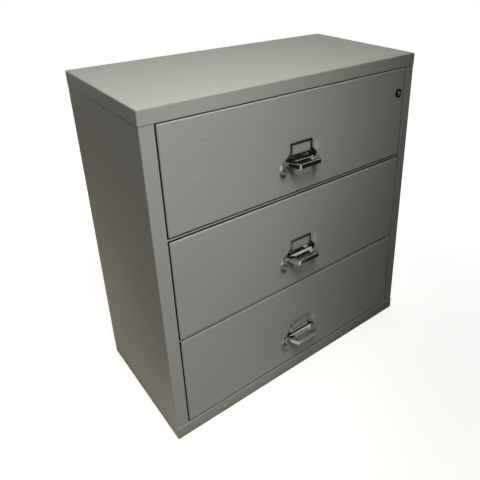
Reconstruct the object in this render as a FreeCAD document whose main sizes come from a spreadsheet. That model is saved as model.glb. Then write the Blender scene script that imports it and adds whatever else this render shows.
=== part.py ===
import FreeCAD, Part
import os
import Sketcher

# A three-drawer insulated lateral file cabinet.
# Frame: +Z up, front towards -Y, origin on the floor under the middle of the carcass. Millimetres.

doc = FreeCAD.newDocument("insulated_lateral_file")

# Driving sizes
SIZES = {
    # Carcass
    "overall_width": 952.5,
    "overall_depth": 470.0,
    "overall_height": 1022.4,
    "sheet": 1.5,
    "seam_gap": 0.8,
    "bend_radius": 2.5,
    "cap_height": 39.0,
    "cap_overhang": 1.0,
    "cap_edge_radius": 3.0,
    "base_height": 43.0,
    "stile_width": 37.6,
    "jamb_depth": 25.0,
    "back_wall": 44.0,
    "top_mouth_short": 4.567,
    "bottom_mouth_short": 1.967,
    "rail_height": 4.5,
    "divider_thickness": 40.0,
    # Drawer heads
    "front_proud": 2.5,
    "front_depth": 22.0,
    "front_reveal": 3.0,
    "front_side_gap": 4.0,
    "front_edge_radius": 4.0,
    "middle_front_drop": 2.5,
    "plug_depth": 36.0,
    "plug_gap": 6.0,
    # Trays and what hangs in them
    "tray_sheet": 1.2,
    "tray_back_gap": 6.5,
    "tray_headroom": 31.5,
    "tray_lift": 10.0,
    "folder_rail_inset": 8.0,
    "folder_rail_back_gap": 43.0,
    "folder_rail_thickness": 3.0,
    "folder_rail_height": 16.0,
    "bumper_radius": 8.0,
    "bumper_inset": 40.0,
    "bumper_rise": 30.0,
    "bumper_gap": 0.5,
    # Telescopic slides
    "slide_space": 13.2,
    "slide_height": 45.0,
    "slide_sheet": 1.5,
    "slide_play": 0.4,
    "slide_tray_gap": 1.0,
    "slide_setback": 14.5,
    "slide_end_gap": 2.5,
    "slide_rise": 100.0,
    # Handle with its label frame
    "handle_offset": 6.0,
    "handle_rise": 8.0,
    "handle_height": 66.0,
    "label_width": 82.0,
    "label_height": 24.0,
    "label_bar": 7.0,
    "label_corner_radius": 3.0,
    "window_height": 29.0,
    "flare_height": 22.0,
    "plate_thickness": 2.5,
    "pull_width": 115.0,
    "pull_neck": 7.0,
    "pull_front_width": 79.0,
    "pull_reach": 44.5,
    "pull_height": 14.5,
    "pull_wall": 6.0,
    "pull_ledge": 12.0,
    "gap_back_width": 66.0,
    "gap_front_width": 71.0,
    "pull_corner_radius": 4.5,
    "screw_spread": 70.0,
    "screw_radius": 2.0,
    "screw_grip": 5.0,
    "screw_head_radius": 4.0,
    "screw_head_height": 2.5,
    # Thumb lever and latch rod
    "running_clearance": 0.05,
    "lever_offset": 62.0,
    "lever_drop": 58.0,
    "lever_ear_radius": 7.5,
    "spindle_radius": 3.0,
    "stem_gap": 0.5,
    "stem_thickness": 4.0,
    "stem_width": 4.0,
    "stem_length": 23.0,
    "tab_length": 20.0,
    "tab_depth": 14.0,
    "tab_thickness": 5.0,
    "crank_setback": 9.0,
    "crank_thickness": 3.0,
    "crank_length": 14.0,
    "crank_width": 10.0,
    "drive_pin_radius": 2.0,
    "drive_pin_play": 0.15,
    "drive_slot_height": 6.0,
    "rod_height": 12.0,
    "rod_thickness": 3.0,
    "rod_play": 0.4,
    "rod_end_margin": 7.0,
    "cavity_depth": 18.0,
    "cavity_margin": 12.0,
    "bolt_slot_height": 14.0,
    "bolt_slot_width": 6.0,
    # Lock and lock bar
    "lock_inset": 26.65,
    "lock_drop": 79.4,
    "lock_flange_radius": 14.0,
    "lock_flange_thickness": 3.0,
    "lock_body_radius": 10.0,
    "lock_plug_radius": 8.0,
    "lock_plug_stand": 1.0,
    "keyway_width": 1.6,
    "keyway_height": 9.0,
    "keyway_depth": 3.0,
    "cam_gap": 1.0,
    "cam_thickness": 3.0,
    "cam_width": 12.0,
    "cam_length": 22.0,
    "bar_thickness": 3.0,
    "bar_width": 14.0,
    "bar_play": 0.35,
    "bar_end": 8.0,
    "bar_travel": 10.0,
    "lug_height": 8.0,
    "lug_depth": 3.5,
    "lug_reach": 8.0,
    "lug_gap": 2.0,
    "keeper_rise": 150.0,
    "keeper_height": 12.0,
    "keeper_reach": 6.5,
    "keeper_setback": 6.5,
    "keeper_thickness": 3.0,
    "bar_pin_radius": 2.0,
    "bar_pin_drop": 1.5,
    "bar_pin_reach": 11.5,
    "slot_play": 1.0,
}
sheet = doc.addObject("Spreadsheet::Sheet", "Size")
for row, (alias, number) in enumerate(SIZES.items(), start=1):
    sheet.set(f"A{row}", alias)
    sheet.set(f"B{row}", str(number))
    sheet.setAlias(f"B{row}", alias)
doc.recompute()

pieces = []


def value(text):
    """The number that an expression on the sheet comes to."""
    return float(sheet.evalExpression(text))


def keep(piece):
    """Lists a finished sub-part, whose Label names its file."""
    pieces.append(piece)
    return piece


# Part primitives and booleans
TURNS = {
    "X": FreeCAD.Rotation(FreeCAD.Vector(0, 1, 0), 90),
    "Y": FreeCAD.Rotation(FreeCAD.Vector(1, 0, 0), -90),
    "Z": FreeCAD.Rotation(),
}


def place(piece, corner):
    for axis, text in zip("xyz", corner):
        piece.setExpression(f".Placement.Base.{axis}", text)


def box(name, low, high):
    """A block between two corners."""
    block = doc.addObject("Part::Box", name)
    for side, start, end in zip(("Length", "Width", "Height"), low, high):
        block.setExpression(side, f"({end}) - ({start})")
    place(block, low)
    return block


def cylinder(name, axis, start, length, radius):
    """A round bar from a point along +X, +Y or +Z."""
    bar = doc.addObject("Part::Cylinder", name)
    bar.Placement = FreeCAD.Placement(FreeCAD.Vector(), TURNS[axis])
    bar.setExpression("Height", length)
    bar.setExpression("Radius", radius)
    place(bar, start)
    return bar


def fuse(name, *parts):
    joined = doc.addObject("Part::MultiFuse", name)
    joined.Shapes = parts
    joined.Refine = True
    return joined


def cut(name, base, *tools):
    trimmed = doc.addObject("Part::Cut", name)
    trimmed.Base = base
    trimmed.Tool = tools[0] if len(tools) == 1 else fuse(f"{name}_tools", *tools)
    trimmed.Refine = True
    return trimmed


def group(name, *parts):
    """Separate solids that share one node."""
    bundle = doc.addObject("Part::Compound", name)
    bundle.Links = parts
    return bundle


def both_sides(name, make, inner, outer):
    """The same solid on the right and, mirrored in X, on the left."""
    right = make(f"{name}_right", inner, outer)
    left = make(f"{name}_left", f"-({outer})", f"-({inner})")
    return right, left


# PartDesign bodies
def new_body(name):
    return doc.addObject("PartDesign::Body", name)


def new_sketch(body, name, role, offset):
    """A sketch on one of the body's own origin planes, moved along that plane's normal."""
    sketch = body.newObject("Sketcher::SketchObject", name)
    plane = next(p for p in body.Origin.OriginFeatures if p.Role == role)
    sketch.AttachmentSupport = [(plane, "")]
    sketch.MapMode = "FlatFace"
    sketch.setExpression(".AttachmentOffset.Base.z", offset)
    return sketch


def bind(sketch, constraint, text):
    index = sketch.addConstraint(constraint)
    sketch.setExpression(f"Constraints[{index}]", text)


def outline(sketch, points):
    """A closed outline of straight lines, each corner held by its two coordinates."""
    first = sketch.GeometryCount
    count = len(points)
    spots = [FreeCAD.Vector(value(x), value(y), 0) for x, y in points]
    for i in range(count):
        sketch.addGeometry(Part.LineSegment(spots[i], spots[(i + 1) % count]), False)
    for i in range(count):
        following = first + (i + 1) % count
        sketch.addConstraint(Sketcher.Constraint("Coincident", first + i, 2, following, 1))
    for i, (x, y) in enumerate(points):
        bind(sketch, Sketcher.Constraint("DistanceX", -1, 1, first + i, 1, value(x)), x)
        bind(sketch, Sketcher.Constraint("DistanceY", -1, 1, first + i, 1, value(y)), y)


def rectangle(sketch, low, high):
    outline(sketch, [low, (high[0], low[1]), high, (low[0], high[1])])


def circle(sketch, x, y, radius):
    centre = FreeCAD.Vector(value(x), value(y), 0)
    index = sketch.addGeometry(
        Part.Circle(centre, FreeCAD.Vector(0, 0, 1), value(radius)), False
    )
    bind(sketch, Sketcher.Constraint("DistanceX", -1, 1, index, 3, value(x)), x)
    bind(sketch, Sketcher.Constraint("DistanceY", -1, 1, index, 3, value(y)), y)
    bind(sketch, Sketcher.Constraint("Radius", index, value(radius)), radius)


def pad(body, name, profile, length):
    """Material added along the sketch plane's normal."""
    feature = body.newObject("PartDesign::Pad", name)
    feature.Profile = profile
    feature.setExpression("Length", length)
    return feature


def pocket(body, name, profile, length):
    """Material cut away along the sketch plane's normal."""
    before = body.Tip
    feature = body.newObject("PartDesign::Pocket", name)
    feature.Profile = profile
    feature.Reversed = True
    feature.setExpression("Length", length)
    doc.recompute()
    if feature.Shape.Volume >= before.Shape.Volume:
        raise RuntimeError(f"{name} cuts nothing")
    return feature


def round_edges(body, name, wanted, radius):
    """A fillet on the edges of the body that pass a test on their box."""
    base = body.Tip
    doc.recompute()
    names = [f"Edge{i}" for i, e in enumerate(base.Shape.Edges, 1) if wanted(e.BoundBox)]
    feature = body.newObject("PartDesign::Fillet", name)
    feature.Base = (base, names)
    feature.setExpression("Radius", radius)
    return feature


def near(a, b):
    return abs(a - b) < 1e-4


# Places worked out from the sizes
half_width = "(Size.overall_width / 2)"
half_depth = "(Size.overall_depth / 2)"
panel_x = f"({half_width} - Size.cap_overhang)"
frame_y = f"(Size.cap_overhang - {half_depth})"
back_y = f"({half_depth} - Size.cap_overhang)"
jamb_x = f"({panel_x} - Size.stile_width)"
wall_x = f"({jamb_x} + Size.sheet)"
liner_y = f"({frame_y} + Size.jamb_depth)"
space_back = f"({back_y} - Size.back_wall)"
cap_low = "(Size.overall_height - Size.cap_height)"

# Mouths and rails from the top drawer down, each as (low, high), near a third of the opening each
third = f"(({cap_low} - Size.base_height - 2 * Size.rail_height) / 3)"
mouth_1 = (f"({cap_low} - {third} + Size.top_mouth_short)", cap_low)
upper_rail = (f"({mouth_1[0]} - Size.rail_height)", mouth_1[0])
mouth_3 = ("Size.base_height", f"(Size.base_height + {third} - Size.bottom_mouth_short)")
lower_rail = (mouth_3[1], f"({mouth_3[1]} + Size.rail_height)")
mouth_2 = (lower_rail[1], upper_rail[0])


def divider_of(rail):
    middle = f"({rail[0]} + Size.rail_height / 2)"
    return f"({middle} - Size.divider_thickness / 2)", f"({middle} + Size.divider_thickness / 2)"


upper_divider = divider_of(upper_rail)
lower_divider = divider_of(lower_rail)
spaces = [
    (upper_divider[1], cap_low),
    (lower_divider[1], upper_divider[0]),
    ("Size.base_height", lower_divider[0]),
]
mouths = [mouth_1, mouth_2, mouth_3]
# One height of tray suits all three, from the lowest space
tray_height = f"({spaces[1][1]} - {spaces[1][0]} - Size.tray_lift - Size.tray_headroom)"
drops = ["0", "Size.middle_front_drop", "0"]

# Drawer heads, front to back
front_x = f"({jamb_x} - Size.front_side_gap)"
front_y = f"({frame_y} - Size.front_proud)"
slab_y = f"({front_y} + Size.front_depth)"
head_y = f"({slab_y} + Size.plug_depth)"
plug_x = f"({jamb_x} - Size.plug_gap)"
tray_x = f"({jamb_x} - Size.slide_space)"
tray_back = f"({space_back} - Size.tray_back_gap)"
skin_y = f"({front_y} + Size.sheet)"


class Drawer:
    """The heights of one drawer, from its mouth, its space and its front's drop."""

    def __init__(self, index):
        self.name = f"drawer_{index + 1}"
        self.has_lock = index == 0
        mouth, drop = mouths[index], drops[index]
        self.space = spaces[index]
        self.front_low = f"({mouth[0]} + Size.front_reveal - {drop})"
        self.front_high = f"({mouth[1]} - Size.front_reveal - {drop})"
        self.plug_low = f"({self.space[0]} + Size.plug_gap)"
        self.plug_high = f"({self.space[1]} - Size.plug_gap)"
        self.tray_low = f"({self.space[0]} + Size.tray_lift)"
        self.tray_high = f"({self.tray_low} + {tray_height})"
        self.slide_z = f"({self.tray_low} + Size.slide_rise)"
        self.keeper_low = f"({self.tray_low} + Size.keeper_rise)"
        self.lug_high = f"({self.keeper_low} - Size.lug_gap)"
        self.lug_low = f"({self.lug_high} - Size.lug_height)"
        self.handle_high = f"(({self.front_low} + {self.front_high}) / 2 + Size.handle_rise)"
        self.handle_low = f"({self.handle_high} - Size.handle_height)"
        self.lever_z = f"({self.handle_high} - Size.lever_drop)"
        self.rod_z = f"({self.lever_z} - Size.crank_length)"


drawers = [Drawer(index) for index in range(len(spaces))]
lock_x = f"({front_x} - Size.lock_inset)"
lock_z = f"({drawers[0].front_high} - Size.lock_drop)"
handle_x = "(-Size.handle_offset)"
lever_x = f"({handle_x} - Size.lever_offset)"

# Latch rod and crank, front to back inside the head
crank_y = f"({front_y} + Size.crank_setback)"
crank_back = f"({crank_y} + Size.crank_thickness)"
rod_y = f"({crank_back} + Size.rod_play)"
rod_back = f"({rod_y} + Size.rod_thickness)"

# Lock bar in its channel in the right wall
bar_x = f"({wall_x} + Size.bar_play)"
bar_out_x = f"({bar_x} + Size.bar_thickness)"
lug_y = f"({head_y} + Size.cam_gap)"
lug_back = f"({lug_y} + Size.lug_depth)"
bar_back = f"({lug_back} + Size.slot_play)"
bar_y = f"({bar_back} - Size.bar_width)"
bar_pin_y = f"({lug_y} + Size.cam_thickness / 2)"
bar_pin_z = f"({lock_z} - Size.bar_pin_drop)"
bar_low = f"({drawers[-1].lug_low} - Size.bar_end)"
bar_high = f"({bar_pin_z} + Size.bar_end)"


# Top cap: a folded pan with a header strip over the top drawer
def make_top_cap():
    body = new_body("top_cap")
    top = new_sketch(body, "cap_outline", "XY_Plane", cap_low)
    rectangle(top, (f"-{half_width}", f"-{half_depth}"), (half_width, half_depth))
    pad(body, "cap_block", top, "Size.cap_height")
    crown = value("Size.overall_height")
    reach = value("Size.cap_height")
    round_edges(
        body,
        "cap_folds",
        lambda b: near(b.ZMin, crown) or near(b.ZLength, reach),
        "Size.cap_edge_radius",
    )
    hollow = new_sketch(body, "cap_hollow_outline", "XY_Plane", cap_low)
    inner_x, inner_y = f"({half_width} - Size.sheet)", f"({half_depth} - Size.sheet)"
    rectangle(hollow, (f"-{inner_x}", f"-{inner_y}"), (inner_x, inner_y))
    pocket(body, "cap_hollow", hollow, "Size.cap_height - Size.sheet")
    header = new_sketch(body, "header_outline", "XY_Plane", cap_low)
    rectangle(header, (f"-{half_width} + Size.sheet / 2", f"-{half_depth} + Size.sheet / 2"),
              (f"{half_width} - Size.sheet / 2", liner_y))
    pad(body, "header", header, "Size.sheet")
    return keep(body)


# Side panel: outer skin, stile and jamb folded from one sheet
def make_side_panel(name, sign, slots):
    body = new_body(name)
    low = "Size.base_height + Size.seam_gap"
    high = f"{cap_low} - Size.seam_gap"
    plan = new_sketch(body, f"{name}_plan", "XY_Plane", low)
    inside = f"{panel_x} - Size.sheet"
    rear = f"{back_y} - Size.sheet"
    corners = [
        (panel_x, rear),
        (panel_x, frame_y),
        (jamb_x, frame_y),
        (jamb_x, liner_y),
        (wall_x, liner_y),
        (wall_x, f"{frame_y} + Size.sheet"),
        (inside, f"{frame_y} + Size.sheet"),
        (inside, rear),
    ]
    outline(plan, [(f"{sign} * ({x})", y) for x, y in corners])
    pad(body, f"{name}_sheet", plan, f"({high}) - ({low})")
    edge_x, edge_y = value(panel_x), value(frame_y)
    round_edges(
        body,
        f"{name}_fold",
        lambda b: near(b.YMin, edge_y) and near(b.YMax, edge_y)
        and near(abs(b.XMin), edge_x) and near(abs(b.XMax), edge_x),
        "Size.bend_radius",
    )
    if slots:
        face = new_sketch(body, f"{name}_slots_outline", "YZ_Plane", f"-{wall_x} - Size.sheet")
        for drawer in drawers:
            middle = f"({rod_y} + Size.rod_thickness / 2)"
            rectangle(
                face,
                (f"{middle} - Size.bolt_slot_width / 2",
                 f"{drawer.rod_z} - Size.bolt_slot_height / 2"),
                (f"{middle} + Size.bolt_slot_width / 2",
                 f"{drawer.rod_z} + Size.bolt_slot_height / 2"),
            )
        pocket(body, f"{name}_slots", face, "Size.sheet * 3")
    return keep(body)


# Base frame: a pan that stands on the floor, with a sill under the bottom drawer
def make_base_frame():
    body = new_body("base_frame")
    floor = new_sketch(body, "base_outline", "XY_Plane", "0")
    rectangle(floor, (f"-{panel_x}", front_y), (panel_x, back_y))
    pad(body, "base_block", floor, "Size.base_height")
    tall, front = value("Size.base_height"), value(front_y)
    round_edges(body, "base_folds", lambda b: near(b.ZLength, tall), "Size.bend_radius")
    round_edges(
        body,
        "base_nose",
        lambda b: near(b.YMin, front) and near(b.YMax, front) and near(b.ZMin, tall),
        "Size.front_edge_radius",
    )
    inner_x, rear = f"({panel_x} - Size.sheet)", f"({back_y} - Size.sheet)"
    under_sill = "Size.base_height - Size.sheet * 2"
    for name, start, low, depth in (
        ("base_hollow", f"{front_y} + Size.sheet", "Size.sheet", under_sill),
        ("base_mouth", liner_y, under_sill, "Size.sheet * 3"),
    ):
        hollow = new_sketch(body, f"{name}_outline", "XY_Plane", low)
        rectangle(hollow, (f"-{inner_x}", start), (inner_x, rear))
        pocket(body, name, hollow, depth)
    return keep(body)


# Rail between two mouths: a thin web with a plate that closes the divider's nose
def make_rail(name, rail, divider):
    web = box(f"{name}_web", (f"-{jamb_x}", frame_y, rail[0]), (jamb_x, liner_y, rail[1]))
    nose = box(
        f"{name}_nose",
        (f"-{jamb_x}", f"{liner_y} - Size.sheet", divider[0]),
        (jamb_x, liner_y, divider[1]),
    )
    return keep(fuse(name, web, nose))


def make_carcass():
    make_top_cap()
    make_side_panel("left_side_panel", "-1", True)
    make_side_panel("right_side_panel", "1", False)
    low = "Size.base_height + Size.seam_gap"
    high = f"{cap_low} - Size.seam_gap"
    rear = f"{back_y} - Size.sheet"
    keep(box("back_panel", (f"-{panel_x}", rear, low), (panel_x, back_y, high)))
    make_base_frame()
    make_rail("upper_rail", upper_rail, upper_divider)
    make_rail("lower_rail", lower_rail, lower_divider)


# Insulation: cast slabs between the outer skin and the liners
def make_insulation():
    skin_x = f"{panel_x} - Size.sheet"
    nose = f"{frame_y} + Size.sheet"
    rear = f"{back_y} - Size.sheet"
    low, high = "Size.base_height", cap_low
    keep(box("left_insulation", (f"-({skin_x})", nose, low), (f"-{wall_x}", rear, high)))
    slab = box("right_insulation_slab", (wall_x, nose, low), (skin_x, rear, high))
    channel = box(
        "lock_bar_channel",
        (f"{wall_x} - Size.sheet", f"{bar_y} - Size.bar_play", f"{bar_low} - Size.bar_play"),
        (f"{bar_out_x} + Size.bar_play", f"{bar_back} + Size.bar_play",
         f"{bar_high} + Size.bar_travel + Size.bar_play"),
    )
    keep(cut("right_insulation", slab, channel))
    back_low = f"{space_back} + Size.sheet"
    keep(box("back_insulation", (f"-{wall_x}", back_low, low), (wall_x, rear, high)))
    cap_x, cap_y = f"{half_width} - Size.sheet", f"{half_depth} - Size.sheet"
    keep(box("top_insulation", (f"-({cap_x})", f"-({cap_y})", f"{cap_low} + Size.sheet"),
             (cap_x, cap_y, "Size.overall_height - Size.sheet")))
    keep(box("bottom_insulation", (f"-({skin_x})", skin_y, "Size.sheet"),
             (skin_x, rear, "Size.base_height - Size.sheet")))
    for name, divider in (("upper", upper_divider), ("lower", lower_divider)):
        keep(box(
            f"{name}_divider_insulation",
            (f"-{wall_x}", liner_y, f"{divider[0]} + Size.sheet"),
            (wall_x, back_low, f"{divider[1]} - Size.sheet"),
        ))


# Liners: the steel box that each drawer runs in, open at the front
def make_liner(number, drawer):
    name = f"liner_{number}"
    low, high = drawer.space
    shell = box(
        f"{name}_shell",
        (f"-{wall_x}", liner_y, f"{low} - Size.sheet"),
        (wall_x, f"{space_back} + Size.sheet", f"{high} + Size.sheet"),
    )
    hollow = box(f"{name}_hollow", (f"-{jamb_x}", f"{liner_y} - Size.sheet", low),
                 (jamb_x, space_back, high))
    openings = [box(
        f"{name}_lug_slot",
        (f"{jamb_x} - Size.sheet", f"{lug_y} - Size.slot_play", f"{drawer.lug_low} - Size.slot_play"),
        (f"{wall_x} + Size.sheet", f"{lug_back} + Size.slot_play",
         f"{drawer.lug_high} + Size.bar_travel + Size.slot_play"),
    )]
    if drawer.has_lock:
        room = "(Size.bar_pin_radius + Size.slot_play)"
        openings.append(box(
            f"{name}_pin_slot",
            (f"{jamb_x} - Size.sheet", f"{bar_pin_y} - {room}", f"{bar_pin_z} - {room}"),
            (f"{wall_x} + Size.sheet", f"{bar_pin_y} + {room}",
             f"{bar_pin_z} + Size.bar_travel + {room}"),
        ))
    keep(cut(name, shell, hollow, *openings))


# Drawer front: a folded pan with rounded edges
def make_front(drawer):
    name = f"{drawer.name}_front"
    body = new_body(name)
    rim = f"-{slab_y}"
    face = new_sketch(body, f"{name}_outline", "XZ_Plane", rim)
    rectangle(face, (f"-{front_x}", drawer.front_low), (front_x, drawer.front_high))
    pad(body, f"{name}_block", face, "Size.front_depth")
    deep, front = value("Size.front_depth"), value(front_y)
    round_edges(
        body,
        f"{name}_folds",
        lambda b: near(b.YMax, front) or near(b.YLength, deep),
        "Size.front_edge_radius",
    )
    hollow = new_sketch(body, f"{name}_hollow_outline", "XZ_Plane", rim)
    inner_x = f"({front_x} - Size.sheet)"
    rectangle(hollow, (f"-{inner_x}", f"{drawer.front_low} + Size.sheet"),
              (inner_x, f"{drawer.front_high} - Size.sheet"))
    pocket(body, f"{name}_hollow", hollow, "Size.front_depth - Size.sheet")
    holes = new_sketch(body, f"{name}_holes_outline", "XZ_Plane", rim)
    circle(holes, lever_x, drawer.lever_z, "Size.spindle_radius + Size.running_clearance")
    screw_z = f"{drawer.handle_low} + Size.pull_height / 2"
    for sign in "-+":
        circle(holes, f"{handle_x} {sign} Size.screw_spread / 2", screw_z,
               "Size.screw_radius + Size.running_clearance")
    if drawer.has_lock:
        circle(holes, lock_x, lock_z, "Size.lock_body_radius + Size.running_clearance")
    pocket(body, f"{name}_holes", holes, "Size.front_depth * 2")
    side = new_sketch(body, f"{name}_bolt_outline", "YZ_Plane", f"-{front_x} - Size.sheet")
    tall = "(Size.rod_height / 2 + Size.rod_play)"
    rectangle(side, (f"{rod_y} - Size.rod_play", f"{drawer.rod_z} - {tall}"),
              (f"{rod_back} + Size.rod_play", f"{drawer.rod_z} + {tall}"))
    pocket(body, f"{name}_bolt_slot", side, "Size.sheet * 3")
    keep(body)


def lock_hole(name, low_y, high_y):
    return cylinder(name, "Y", (lock_x, low_y, lock_z), f"({high_y}) - ({low_y})",
                    "Size.lock_body_radius + Size.running_clearance")


# Head insulation: a slab in the front pan and a smaller plug behind it
def make_head_insulation(drawer):
    name = f"{drawer.name}_head_insulation"
    slab_x, core_x = f"({front_x} - Size.sheet)", f"({plug_x} - Size.sheet)"
    slab = box(
        f"{name}_slab",
        (f"-{slab_x}", skin_y, f"{drawer.front_low} + Size.sheet"),
        (slab_x, slab_y, f"{drawer.front_high} - Size.sheet"),
    )
    plug = box(
        f"{name}_plug",
        (f"-{core_x}", slab_y, f"{drawer.plug_low} + Size.sheet"),
        (core_x, f"{head_y} - Size.sheet", f"{drawer.plug_high} - Size.sheet"),
    )
    margin = "Size.cavity_margin"
    cavity = box(
        f"{name}_cavity",
        (f"{lever_x} - Size.crank_length - {margin}", f"{skin_y} - Size.sheet",
         f"{drawer.rod_z} - {margin}"),
        (f"{handle_x} + Size.screw_spread / 2 + {margin}", f"{skin_y} + Size.cavity_depth",
         f"{drawer.lever_z} + {margin}"),
    )
    tall = "(Size.rod_height / 2 + Size.rod_play)"
    channel = box(
        f"{name}_rod_channel",
        (f"-{front_x}", f"{rod_y} - Size.rod_play", f"{drawer.rod_z} - {tall}"),
        (lever_x, f"{rod_back} + Size.rod_play", f"{drawer.rod_z} + {tall}"),
    )
    tools = [cavity, channel]
    if drawer.has_lock:
        tools.append(lock_hole(f"{name}_lock_hole", f"{front_y}", f"{head_y}"))
    keep(cut(name, fuse(f"{name}_block", slab, plug), *tools))


# Head pan: closes the back of the front pan and covers the plug
def make_head_pan(drawer):
    name = f"{drawer.name}_head_pan"
    flange = box(f"{name}_flange", (f"-{front_x}", slab_y, drawer.front_low),
                 (front_x, f"{slab_y} + Size.sheet", drawer.front_high))
    cover = box(f"{name}_cover", (f"-{plug_x}", slab_y, drawer.plug_low),
                (plug_x, head_y, drawer.plug_high))
    core_x = f"({plug_x} - Size.sheet)"
    tools = [box(
        f"{name}_hollow",
        (f"-{core_x}", f"{slab_y} - Size.sheet", f"{drawer.plug_low} + Size.sheet"),
        (core_x, f"{head_y} - Size.sheet", f"{drawer.plug_high} - Size.sheet"),
    )]
    if drawer.has_lock:
        tools.append(lock_hole(f"{name}_lock_hole", f"{slab_y}", f"{head_y} + Size.sheet"))
    keep(cut(name, fuse(f"{name}_block", flange, cover), *tools))


# Tray: floor, sides and back, with a keeper folded out for the lock bar
def make_tray(drawer):
    name = f"{drawer.name}_tray"
    shell = box(f"{name}_shell", (f"-{tray_x}", head_y, drawer.tray_low),
                (tray_x, tray_back, drawer.tray_high))
    keeper_y = f"({head_y} + Size.keeper_setback)"
    keeper = box(
        f"{name}_keeper",
        (f"{tray_x} - Size.tray_sheet", keeper_y, drawer.keeper_low),
        (f"{tray_x} + Size.keeper_reach", f"{keeper_y} + Size.keeper_thickness",
         f"{drawer.keeper_low} + Size.keeper_height"),
    )
    inner_x = f"({tray_x} - Size.tray_sheet)"
    tools = [box(
        f"{name}_hollow",
        (f"-{inner_x}", f"{head_y} - Size.tray_sheet", f"{drawer.tray_low} + Size.tray_sheet"),
        (inner_x, f"{tray_back} - Size.tray_sheet", f"{drawer.tray_high} + Size.tray_sheet"),
    )]
    if drawer.has_lock:
        tools.append(box(
            f"{name}_cam_notch",
            (f"{tray_x} - Size.tray_sheet * 2", f"{head_y} - Size.sheet", f"{lock_z} - Size.cam_length"),
            (f"{tray_x} + Size.tray_sheet", f"{lug_y} + Size.cam_thickness + Size.cam_gap",
             f"{lock_z} + Size.cam_width"),
        ))
    keep(cut(name, fuse(f"{name}_block", shell, keeper), *tools))


def make_folder_rails(drawer):
    name = f"{drawer.name}_folder_rails"
    inner_x = f"({tray_x} - Size.tray_sheet)"
    bars = []
    thick = "Size.folder_rail_thickness"
    places = {
        "front": f"({head_y} + Size.folder_rail_inset)",
        "rear": f"({tray_back} - Size.folder_rail_back_gap - {thick})",
    }
    for where, start in places.items():
        bars.append(box(
            f"{name}_{where}",
            (f"-{inner_x}", start, f"{drawer.tray_high} - Size.folder_rail_height"),
            (inner_x, f"{start} + {thick}", drawer.tray_high),
        ))
    keep(group(name, *bars))


# Telescopic slides: three nested channels on each side of a drawer
def make_slides(drawer):
    step = "(Size.slide_sheet + Size.slide_play)"
    start = f"({head_y} + Size.slide_setback)"
    end = f"({tray_back} - Size.slide_end_gap)"
    lip_x = f"({tray_x} + Size.slide_tray_gap)"

    def channel(label, nesting, inner, outer, web_inner, web_outer):
        half = f"(Size.slide_height / 2 - {nesting} * {step})"
        room = f"({half} - Size.slide_sheet)"

        def one_side(name, low_x, high_x):
            return box(name, (low_x, start, f"{drawer.slide_z} - {half}"),
                       (high_x, end, f"{drawer.slide_z} + {half}"))

        def groove(name, low_x, high_x):
            return box(name, (low_x, f"{start} - Size.sheet", f"{drawer.slide_z} - {room}"),
                       (high_x, f"{end} + Size.sheet", f"{drawer.slide_z} + {room}"))

        name = f"{drawer.name}_{label}_slides"
        solids = both_sides(f"{name}_block", one_side, inner, outer)
        grooves = both_sides(f"{name}_groove", groove, web_inner, web_outer)
        keep(group(name, *(
            cut(f"{name}_{side}", solid, tool)
            for side, solid, tool in zip(("right", "left"), solids, grooves)
        )))

    open_x = f"({tray_x} - Size.slide_sheet)"
    channel("outer", 0, lip_x, jamb_x, open_x, f"{jamb_x} - Size.slide_sheet")
    middle_x = f"({jamb_x} - {step})"
    channel("middle", 1, lip_x, middle_x, open_x, f"{middle_x} - Size.slide_sheet")
    channel("inner", 2, tray_x, f"({middle_x} - {step})", f"{tray_x} + Size.slide_sheet", jamb_x)


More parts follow.
